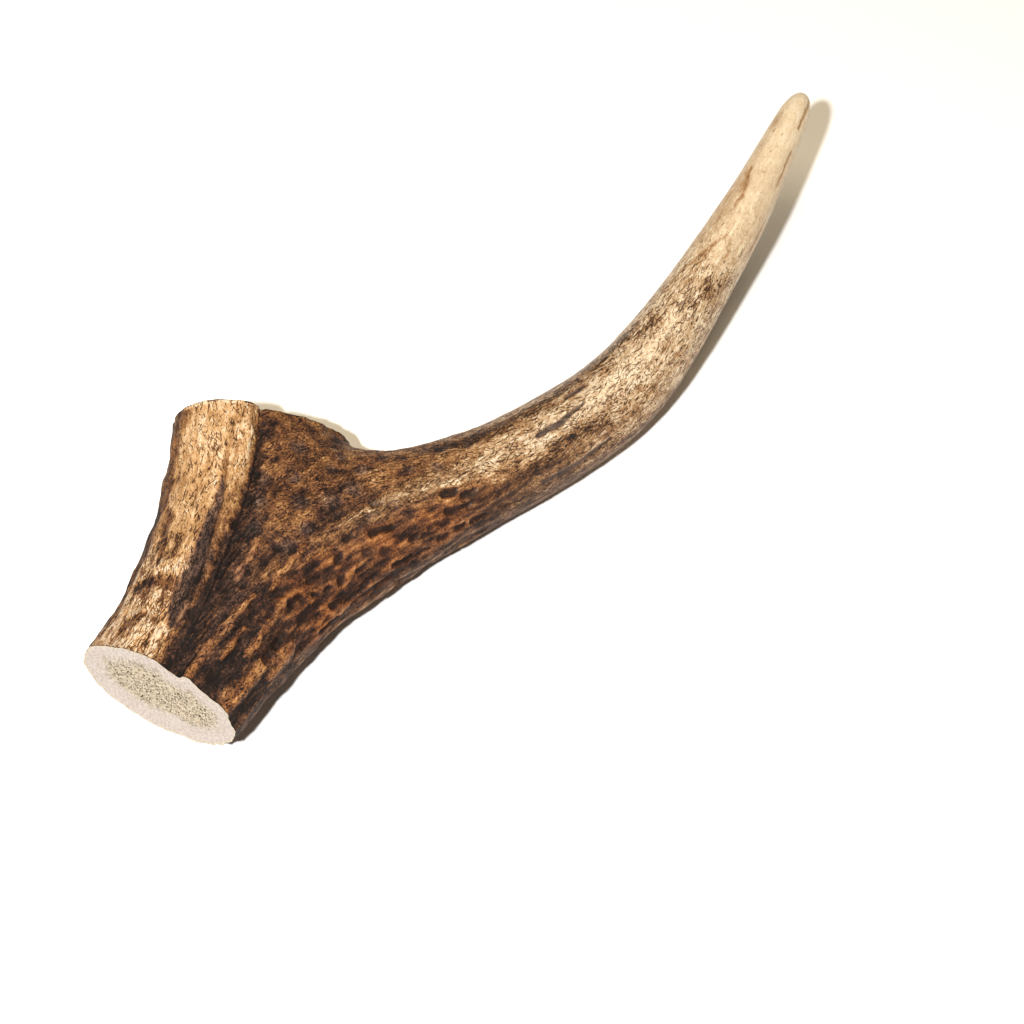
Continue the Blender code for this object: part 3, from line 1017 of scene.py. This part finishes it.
rim_distance = np.full(len(beam_places), FAR_FROM_RIM)
core = np.zeros(len(beam_places))
pore = np.zeros(len(beam_places))
for place, axis, rim, inside in cuts:
    rim_tree = KDTree(len(rim))
    for index in rim:
        rim_tree.insert(beam_places[index], int(index))
    rim_tree.balance()
    away = np.array([rim_tree.find(beam_places[index])[2] for index in inside])
    spots = beam_places[inside]
    uneven = np.array([noise.fractal(spot, 1.0, 2.0, 3) for spot in (spots / CORE_WAVER_SIZE).tolist()])
    below = ease_step(place[2] - spots[:, 2], -3, 6)
    rim_width = RIM_ABOVE + (RIM_BELOW - RIM_ABOVE) * below
    soft_bone = ease_step(away + uneven - rim_width, -1.6, 2.2)
    cell_places = [noise.voronoi(spot)[0][0] for spot in (spots / PORE_SIZE).tolist()]
    hollow = (1 - ease_step(np.array(cell_places), 0.20, 0.45)) * soft_bone
    across = spots @ unit(np.cross(axis, SAW_WAY))
    saw_marks = np.sin(across * SAW_PITCH + 2 * uneven) + np.sin(across * FINE_SAW_PITCH + 1.0)
    beam_places[inside] -= axis * (PORE_DEPTH * hollow + SAW_MARK * saw_marks + SAW_DEPTH)[:, None]
    rim_distance[inside] = away
    rim_distance[rim] = 0
    core[inside] = soft_bone
    pore[inside] = hollow
    print("cut points", len(inside), "rim points", len(rim), "furthest in mm", round(float(away.max()), 1))
set_places(beam_skin, beam_places * MM)
store(beam_skin, "rim_distance", rim_distance)
store(beam_skin, "core", core)
store(beam_skin, "pore", pore)

# %% [markdown]
# ## Materials: small tools
#
# The materials are node trees. These helpers add one node each and hand back its output, so that
# a pattern reads like a short sum.

# %% Node helpers


def put(tree, value, socket):
    """Links an output to a socket, or sets the socket's own value."""
    if isinstance(value, bpy.types.NodeSocket):
        tree.links.new(value, socket)
    else:
        socket.default_value = value


def calc(tree, operation, *values):
    """A Math node."""
    node = tree.nodes.new("ShaderNodeMath")
    node.operation = operation
    for socket, value in zip(node.inputs, values):
        put(tree, value, socket)
    return node.outputs[0]


def rise(tree, value, low, high, start=0.0, end=1.0):
    """A smooth change from start, where the value is low, to end, where it is high."""
    node = tree.nodes.new("ShaderNodeMapRange")
    node.interpolation_type = "SMOOTHSTEP"
    for name, setting in (
        ("Value", value), ("From Min", low), ("From Max", high), ("To Min", start), ("To Max", end),
    ):
        put(tree, setting, node.inputs[name])
    return node.outputs["Result"]


def stretched(tree, place, scale, shift=(0.0, 0.0, 0.0)):
    """A place multiplied by a scale, then moved."""
    node = tree.nodes.new("ShaderNodeVectorMath")
    node.operation = "MULTIPLY_ADD"
    put(tree, place, node.inputs[0])
    node.inputs[1].default_value = scale
    node.inputs[2].default_value = shift
    return node.outputs[0]


def moved(tree, place, push):
    """A place moved by a vector, or by one value along all three axes."""
    node = tree.nodes.new("ShaderNodeVectorMath")
    node.operation = "ADD"
    put(tree, place, node.inputs[0])
    put(tree, push, node.inputs[1])
    return node.outputs[0]


def cloud(tree, place, size, detail=2.0, roughness=0.5, distortion=0.0):
    """Noise around 0.5, in lumps of this size."""
    node = tree.nodes.new("ShaderNodeTexNoise")
    put(tree, place, node.inputs["Vector"])
    node.inputs["Scale"].default_value = 1 / size
    node.inputs["Detail"].default_value = detail
    node.inputs["Roughness"].default_value = roughness
    node.inputs["Distortion"].default_value = distortion
    return node.outputs["Fac"]


def cells(tree, place, size, feature="DISTANCE_TO_EDGE"):
    """Distance to the nearest cell edge, or to the nearest cell middle, in a cellular pattern."""
    node = tree.nodes.new("ShaderNodeTexVoronoi")
    node.feature = feature
    put(tree, place, node.inputs["Vector"])
    node.inputs["Scale"].default_value = 1 / size
    return node.outputs["Distance"]


def kept_value(tree, name, output="Fac"):
    """Reads an attribute of the mesh."""
    node = tree.nodes.new("ShaderNodeAttribute")
    node.attribute_name = name
    return node.outputs[output]


def blended(tree, kind, amount, base, layer):
    """A colour laid over another with a blend mode."""
    node = tree.nodes.new("ShaderNodeMix")
    node.data_type = "RGBA"
    node.blend_type = kind
    put(tree, amount, node.inputs["Factor"])
    colours = [socket for socket in node.inputs if socket.type == "RGBA"]
    put(tree, base, colours[0])
    put(tree, layer, colours[1])
    return [socket for socket in node.outputs if socket.type == "RGBA"][0]


def linear(channel):
    """One 8-bit display value as light."""
    share = channel / 255
    return share / 12.92 if share <= 0.04045 else ((share + 0.055) / 1.055) ** 2.4


LIGHT_LEVEL = (1.46, 1.39, 1.26)  # how many times its own red, green and blue a level face shows


def shown(*channels):
    """The surface colour that comes out as this display colour under the studio light."""
    return (*(linear(channel) / level for channel, level in zip(channels, LIGHT_LEVEL)), 1.0)


def ramp(tree, value, stops):
    """A colour ramp with these (place, (red, green, blue)) stops."""
    node = tree.nodes.new("ShaderNodeValToRGB")
    put(tree, value, node.inputs["Fac"])
    elements = node.color_ramp.elements
    while len(elements) < len(stops):
        elements.new(1.0)
    for element, (place, colour) in zip(elements, stops):
        element.position = place
    for element, (place, colour) in zip(elements, stops):
        element.color = shown(*colour)
    return node.outputs["Color"]


def new_group(name, inputs, outputs):
    """An empty node group with these sockets, and its input and output nodes."""
    group = bpy.data.node_groups.new(name, "ShaderNodeTree")
    for title, kind in inputs:
        group.interface.new_socket(name=title, in_out="INPUT", socket_type=kind)
    for title, kind in outputs:
        group.interface.new_socket(name=title, in_out="OUTPUT", socket_type=kind)
    return group, group.nodes.new("NodeGroupInput"), group.nodes.new("NodeGroupOutput")


def use_group(tree, group):
    """Places a node group in a tree."""
    node = tree.nodes.new("ShaderNodeGroup")
    node.node_tree = group
    return node


print("light on a level face", LIGHT_LEVEL)

# %% [markdown]
# ## The grain of antler
#
# Close up the bark is never one colour. Long streaks follow the flow, and so do short dark dashes,
# in two layers that cross at a slant as fibres do, with finer hairs crossing at a steeper slant.
# Blotches and dust follow nothing. Tiny pale glints, which are painted highlights, lie in the
# brightest blotches. Pale sparks are partly rubbed bone and partly a painted sheen, and a broken net
# of hair cracks covers the tine. A picture of bark would repeat and stretch, so noise makes them all.
# One group does it from the place in the flow, and puts them out as separate values, so that each
# finish takes its share.

# %% Grain group
GRAINS = ("Streaks", "Blotches", "Dashes", "Hairs", "Sparkle_sheen", "Cracks", "Dust", "Painted_glints")
SWIRL_SIZE = 2.4  # this and the next sizes are in mm
STREAK_SIZE = 0.75
BLOTCH_SIZE = 1.9
SHEEN_SPARKLE_SIZE = 0.42
CRACK_SPACING = 1.1
DUST_SIZE = 0.36
GLINT_SPACING = 1.5
DASHES = ((12, 0.32, (7.0, 3.0, 5.0)), (-16, 0.28, (1.0, 9.0, 2.0)))  # slant in degrees, size, shift
HAIRS = ((38, 0.26, (3.0, 8.0, 1.0)), (-42, 0.24, (9.0, 2.0, 6.0)))
STROKE_STRETCH = 0.15
STROKE_EDGE = 0.05
grain_group, grain_in, grain_out = new_group(
    "antler grain",
    [("Flow", "NodeSocketVector"), ("Flecks", "NodeSocketFloat")],
    [(name, "NodeSocketFloat") for name in GRAINS],
)


def slanted(tree, place, turn, size, shift, stretch):
    """Noise pulled out into streaks that lie at a slant to the flow."""
    node = tree.nodes.new("ShaderNodeVectorRotate")
    node.rotation_type = "Z_AXIS"
    put(tree, place, node.inputs["Vector"])
    node.inputs["Angle"].default_value = math.radians(turn)
    return cloud(tree, stretched(tree, node.outputs[0], (stretch, 1, 1), shift), size)


def crossed_strokes(tree, place, layers, threshold):
    """Short fine strokes in two crossing layers: only the peaks of a stretched noise."""
    peaks = []
    for turn, size, shift in layers:
        layer = slanted(tree, place, turn, size, shift, STROKE_STRETCH)
        peaks.append(rise(tree, layer, threshold, calc(tree, "ADD", threshold, STROKE_EDGE)))
    return calc(tree, "MAXIMUM", *peaks)


tree = grain_group
flow_place = grain_in.outputs["Flow"]
swirl = cloud(tree, stretched(tree, flow_place, (0.5, 1, 1)), SWIRL_SIZE, 1)
warped_place = moved(tree, flow_place, swirl)
streaks = cloud(tree, stretched(tree, warped_place, (0.14, 1, 1)), STREAK_SIZE, 3, 0.6)
blotches = cloud(tree, flow_place, BLOTCH_SIZE, 4, 0.68, 0.4)
threshold = calc(tree, "SUBTRACT", 0.71, calc(tree, "MULTIPLY", grain_in.outputs["Flecks"], 0.14))
dashes = crossed_strokes(tree, warped_place, DASHES, threshold)
hairs = crossed_strokes(tree, warped_place, HAIRS, threshold)
hair_gaps = cloud(tree, stretched(tree, flow_place, (0.35, 1, 1), (2.0, 7.0, 4.0)), 1.6)
hairs = calc(tree, "MULTIPLY", hairs, rise(tree, hair_gaps, 0.42, 0.54))
# Pale sparks: partly rubbed bone and partly a painted sheen broken into flecks.
sheen_sparkle = rise(tree, slanted(tree, warped_place, -8, SHEEN_SPARKLE_SIZE, (31.0, 17.0, 9.0), 0.20), 0.53, 0.63)
crooked_place = moved(tree, stretched(tree, warped_place, (0.4, 1, 1)), cloud(tree, flow_place, 0.7))
net = rise(tree, cells(tree, crooked_place, CRACK_SPACING), 0.0, 0.06, 1.0, 0.0)
cracks = calc(tree, "MULTIPLY", net, rise(tree, cloud(tree, flow_place, 1.3), 0.50, 0.58))
dust = cloud(tree, flow_place, DUST_SIZE)
# Painted glints: tiny pale dots in the brightest blotches, standing for highlights.
painted_glints = rise(tree, cells(tree, flow_place, GLINT_SPACING, "F1"), 0.05, 0.10, 1.0, 0.0)
painted_glints = calc(tree, "MULTIPLY", painted_glints, rise(tree, blotches, 0.55, 0.60))
for name, value in zip(GRAINS, (streaks, blotches, dashes, hairs, sheen_sparkle, cracks, dust, painted_glints)):
    put(tree, value, grain_out.inputs[name])
print("nodes in the grain", len(tree.nodes))

# %% [markdown]
# ## The bark's colour
#
# A second group turns the painted tone into a colour. The grain pushes the tone up and down first,
# then two ramps read it, warm browns for the beam and cooler creams for the tine. Redness warms the
# result, and fading greys it; along the flank by the table that grey is a painted reflection. Mixing
# ready colours with masks would give flat patches, while a tone that is pushed passes through every
# brown on its way. The group also hands out a height for the bump, a roughness and how much polish
# lies on top.

# %% Bark group
BEAM_BROWNS = (
    (0.06, (22, 15, 12)), (0.17, (42, 26, 19)), (0.28, (70, 44, 31)), (0.38, (98, 63, 40)),
    (0.50, (131, 86, 51)), (0.62, (163, 114, 68)), (0.74, (190, 140, 88)), (0.84, (215, 166, 111)),
    (0.94, (243, 200, 148)), (1.0, (252, 228, 190)),
)
TINE_CREAMS = (
    (0.06, (26, 18, 13)), (0.28, (78, 48, 28)), (0.40, (108, 72, 43)), (0.52, (138, 96, 58)),
    (0.63, (166, 123, 79)), (0.73, (192, 151, 105)), (0.81, (212, 178, 136)), (0.90, (233, 204, 164)),
    (0.97, (247, 220, 175)), (1.0, (252, 230, 194)),
)
RED_BROWN = (1.0, 0.76, 0.55, 1.0)
FADE_REFLECTION_SATURATION = 0.55
STREAK_PUSH = 0.70
BLOTCH_PUSH = 0.80
DUST_PUSH = 0.66
GLINT_PUSH = 0.4
CRACK_PUSH = 0.22
DARKEST = 0.07
BARK_VALUES = ("Tone", "Redness", "Cream", "Fade_and_reflection", "Grain", "Streaky", "Shine")
bark_group, bark_in, bark_out = new_group(
    "antler bark",
    [(name, "NodeSocketFloat") for name in (*BARK_VALUES, *GRAINS)],
    [
        ("Color", "NodeSocketColor"), ("Roughness", "NodeSocketFloat"), ("Height", "NodeSocketFloat"),
        ("Polish", "NodeSocketFloat"),
    ],
)
tree = bark_group
have = bark_in.outputs


def centred(tree, value, strength):
    """A value around 0.5 as a push up or down of this strength."""
    return calc(tree, "MULTIPLY", calc(tree, "SUBTRACT", value, 0.5), strength)


# The sparks lift the tone more on the cream tine, where the painted sheen lies.
sheen_sparkle_push = calc(tree, "MULTIPLY_ADD", have["Cream"], 0.14, 0.09)
push = calc(tree, "MULTIPLY", centred(tree, have["Streaks"], STREAK_PUSH), have["Streaky"])
# Sparks and glints lift the tone: the glints as painted highlights, the sparks partly as rubbed bone and
# partly as painted sheen.
for layer in (
    centred(tree, have["Blotches"], BLOTCH_PUSH),
    centred(tree, have["Dust"], DUST_PUSH),
    calc(tree, "MULTIPLY", have["Sparkle_sheen"], sheen_sparkle_push),
    calc(tree, "MULTIPLY", have["Painted_glints"], GLINT_PUSH),
):
    push = calc(tree, "ADD", push, layer)
push = calc(tree, "MULTIPLY", push, have["Grain"])
crack_depth = calc(tree, "MULTIPLY", have["Cream"], calc(tree, "MULTIPLY", have["Grain"], CRACK_PUSH))
push = calc(tree, "SUBTRACT", push, calc(tree, "MULTIPLY", have["Cracks"], crack_depth))
lines = calc(tree, "MAXIMUM", have["Dashes"], have["Hairs"])
line_depth = rise(tree, have["Tone"], 0.2, 0.75, 0.14, 0.46)
push = calc(tree, "SUBTRACT", push, calc(tree, "MULTIPLY", lines, line_depth))
grown = calc(tree, "MAXIMUM", calc(tree, "ADD", have["Tone"], push), DARKEST)
browns = ramp(tree, grown, BEAM_BROWNS)
creams = ramp(tree, grown, TINE_CREAMS)
bark_colour = blended(tree, "MIX", have["Cream"], browns, creams)
bark_colour = blended(tree, "MULTIPLY", have["Redness"], bark_colour, RED_BROWN)
fading = tree.nodes.new("ShaderNodeHueSaturation")
fading.inputs["Saturation"].default_value = FADE_REFLECTION_SATURATION
put(tree, have["Fade_and_reflection"], fading.inputs["Fac"])
put(tree, bark_colour, fading.inputs["Color"])
put(tree, fading.outputs["Color"], bark_out.inputs["Color"])
put(tree, rise(tree, grown, 0.15, 0.9, 0.72, 0.46), bark_out.inputs["Roughness"])
put(tree, push, bark_out.inputs["Height"])
put(tree, calc(tree, "MULTIPLY", have["Shine"], 0.85), bark_out.inputs["Polish"])
print("nodes in the bark", len(tree.nodes))

# %% [markdown]
# ## The two bark finishes and the sawn bone
#
# The Principled shader stays in the material. Antler is slightly waxy from handling, so it has a
# coat that grows towards the polished tine and is nearly gone in the dark gutters. The sawn bone is
# a dry, chalky surface with no coat. Its pores are partly real holes in the mesh and partly finer
# pinholes, which only the colour and the bump show.

# %% Bark finishes
BARK_BUMP = 0.30 * MM
BARK_GLOSS = 0.22


def plain_material(name):
    """A material with an empty Principled shader, and that shader."""
    material = bpy.data.materials.new(name)
    material.use_nodes = True
    tree = material.node_tree
    tree.nodes.clear()
    shader = tree.nodes.new("ShaderNodeBsdfPrincipled")
    output = tree.nodes.new("ShaderNodeOutputMaterial")
    tree.links.new(shader.outputs["BSDF"], output.inputs["Surface"])
    return material, shader


def bump(tree, height, distance):
    """A Bump node that reads a height."""
    node = tree.nodes.new("ShaderNodeBump")
    node.inputs["Strength"].default_value = 1.0
    node.inputs["Distance"].default_value = distance
    put(tree, height, node.inputs["Height"])
    return node.outputs["Normal"]


def bark_finish(name, coat_roughness):
    """Antler bark, coloured by the values kept on the mesh."""
    material, shader = plain_material(name)
    tree = material.node_tree
    grains = use_group(tree, grain_group)
    put(tree, kept_value(tree, "flow", "Vector"), grains.inputs["Flow"])
    put(tree, kept_value(tree, "flecks"), grains.inputs["Flecks"])
    bark = use_group(tree, bark_group)
    for title in BARK_VALUES:
        put(tree, kept_value(tree, title.lower()), bark.inputs[title])
    for title in GRAINS:
        put(tree, grains.outputs[title], bark.inputs[title])
    put(tree, bark.outputs["Color"], shader.inputs["Base Color"])
    put(tree, bark.outputs["Roughness"], shader.inputs["Roughness"])
    put(tree, bark.outputs["Polish"], shader.inputs["Coat Weight"])
    put(tree, bump(tree, bark.outputs["Height"], BARK_BUMP), shader.inputs["Normal"])
    shader.inputs["Specular IOR Level"].default_value = BARK_GLOSS
    shader.inputs["Coat Roughness"].default_value = coat_roughness
    return material


dark_antler = bark_finish("dark antler", 0.38)
pale_antler = bark_finish("pale antler", 0.36)
print("nodes in a bark finish", len(dark_antler.node_tree.nodes))

# %% Sawn bone
BONE_RIM = (238, 222, 206)  # these four are display colours
BONE_CORE = (240, 220, 186)
BONE_PORE = (50, 39, 22)
BONE_EDGE = (250, 232, 196)
BONE_SHADE = (0.60, 0.53, 0.47, 1.0)  # what the darkest specks multiply the colour by
PINHOLE_SPACING = 0.46  # this and the next two are in mm
PINHOLE_PATCH = 1.3
SPECKLE_SIZE = 0.42
PORE_DARKNESS = 0.8
BONE_BUMP = 0.2 * MM
BONE_ROUGHNESS = 0.7
BONE_GLOSS = 0.3
sawn_bone, shader = plain_material("sawn bone")
tree = sawn_bone.node_tree
texture_place = tree.nodes.new("ShaderNodeTexCoord").outputs["Object"]
bone_place = stretched(tree, texture_place, (1 / MM, 1 / MM, 1 / MM))
core_share = kept_value(tree, "core")
pinholes = rise(tree, cells(tree, bone_place, PINHOLE_SPACING, "F1"), 0.24, 0.42, 1.0, 0.0)
patchy = rise(tree, cloud(tree, bone_place, PINHOLE_PATCH, 3), 0.32, 0.50)
pinholes = calc(tree, "MULTIPLY", pinholes, calc(tree, "MULTIPLY", patchy, core_share))
pores = calc(tree, "MULTIPLY", kept_value(tree, "pore"), PORE_DARKNESS)
holes = calc(tree, "MAXIMUM", pores, pinholes)
speckle = cloud(tree, bone_place, SPECKLE_SIZE, 3, 0.75)
bone_colour = blended(tree, "MIX", core_share, shown(*BONE_RIM), shown(*BONE_CORE))
edge_share = rise(tree, kept_value(tree, "rim_distance"), 0.1, 0.7, 0.8, 0.0)
bone_colour = blended(tree, "MIX", edge_share, bone_colour, shown(*BONE_EDGE))
grain_shade = rise(tree, speckle, 0.36, 0.60, 0.8, 0.0)
bone_colour = blended(tree, "MULTIPLY", grain_shade, bone_colour, BONE_SHADE)
bone_colour = blended(tree, "MIX", holes, bone_colour, shown(*BONE_PORE))
put(tree, bone_colour, shader.inputs["Base Color"])
bone_height = calc(tree, "SUBTRACT", calc(tree, "MULTIPLY", speckle, 0.4), holes)
put(tree, bump(tree, bone_height, BONE_BUMP), shader.inputs["Normal"])
shader.inputs["Roughness"].default_value = BONE_ROUGHNESS
shader.inputs["Specular IOR Level"].default_value = BONE_GLOSS
print("nodes in the sawn bone", len(tree.nodes))

# %% Dress the pieces
CREASE = math.radians(50)
beam_skin.data.materials.clear()
tine_skin.data.materials.clear()
beam_skin.data.materials.append(dark_antler)
beam_skin.data.materials.append(sawn_bone)
tine_skin.data.materials.append(pale_antler)
beam_skin.data.polygons.foreach_set("material_index", cut_faces.astype(np.int32))
tine_skin.data.polygons.foreach_set("material_index", np.zeros(len(tine_skin.data.polygons), np.int32))
for part in (beam_skin, tine_skin):
    select_only(part)
    bpy.ops.object.shade_smooth_by_angle(angle=CREASE)
    triangles = sum(len(face.vertices) - 2 for face in part.data.polygons)
    print(part.name, "triangles", triangles)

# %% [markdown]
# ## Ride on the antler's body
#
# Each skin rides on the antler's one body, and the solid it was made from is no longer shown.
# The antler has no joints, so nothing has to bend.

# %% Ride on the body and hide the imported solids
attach(beam_skin, "root")
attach(tine_skin, "root")
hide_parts("beam")
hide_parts("tine")
print("riding on root:", beam_skin.name, tine_skin.name)

# %% [markdown]
# ## Floor and light
#
# A white floor gives the bright, even ground of a catalogue picture. A small lamp hangs left of the
# camera and a little above it, and draws the narrow shadow along the right side. A broad soft panel
# overhead and a faint warm surround fill the shadow in. A sun would light it as well, but all its
# shadows run the same way, while a lamp this near fans them out.

# %% Floor
FLOOR_SIZE = 4.0
PAPER_GRAIN = 0.004
PAPER_TONES = ((0.93, 0.925, 0.92, 1), (0.95, 0.945, 0.94, 1))
bpy.ops.object.select_all(action="DESELECT")
bpy.ops.mesh.primitive_plane_add(size=FLOOR_SIZE, location=(0, 0, 0))
floor = bpy.context.object
floor.name = "floor"
floor_paint, shader = plain_material("floor paint")
tree = floor_paint.node_tree
floor_place = tree.nodes.new("ShaderNodeTexCoord").outputs["Object"]
paper = cloud(tree, floor_place, PAPER_GRAIN)
put(tree, blended(tree, "MIX", paper, *PAPER_TONES), shader.inputs["Base Color"])
shader.inputs["Roughness"].default_value = 0.9
shader.inputs["Specular IOR Level"].default_value = 0.1
floor.data.materials.append(floor_paint)
print("floor side in m", FLOOR_SIZE)

# %% Lamps and surround
LAMPS = (  # name, offset from the aim in m, width in m, power in W, colour
    ("small lamp", (-0.2447, -0.1188, 0.454), 0.022, 3.4, (1.0, 1.0, 1.0)),
    ("soft panel", (0.0, 0.02, 0.80), 0.40, 3.7, (1.0, 0.82, 0.56)),
)
SURROUND_LIGHT = 0.11
SURROUND_COLOUR = (1.0, 0.88, 0.70, 1)


def add_lamp(name, offset, size, power, colour):
    """A round lamp at this offset from the aim in metres, turned to face it."""
    bpy.ops.object.light_add(type="AREA", location=aim + Vector(offset))
    lamp = bpy.context.object
    lamp.name = name
    lamp.data.shape = "DISK"
    lamp.data.size = size
    lamp.data.energy = power
    lamp.data.color = colour
    lamp.rotation_euler = Vector(offset).to_track_quat("Z", "Y").to_euler()


for lamp in LAMPS:
    add_lamp(*lamp)
world = bpy.data.worlds.new("warm surround")
bpy.context.scene.world = world
world.use_nodes = True
background = world.node_tree.nodes["Background"]
background.inputs["Color"].default_value = SURROUND_COLOUR
background.inputs["Strength"].default_value = SURROUND_LIGHT
print("lamps:", ", ".join(name for name, *_ in LAMPS))
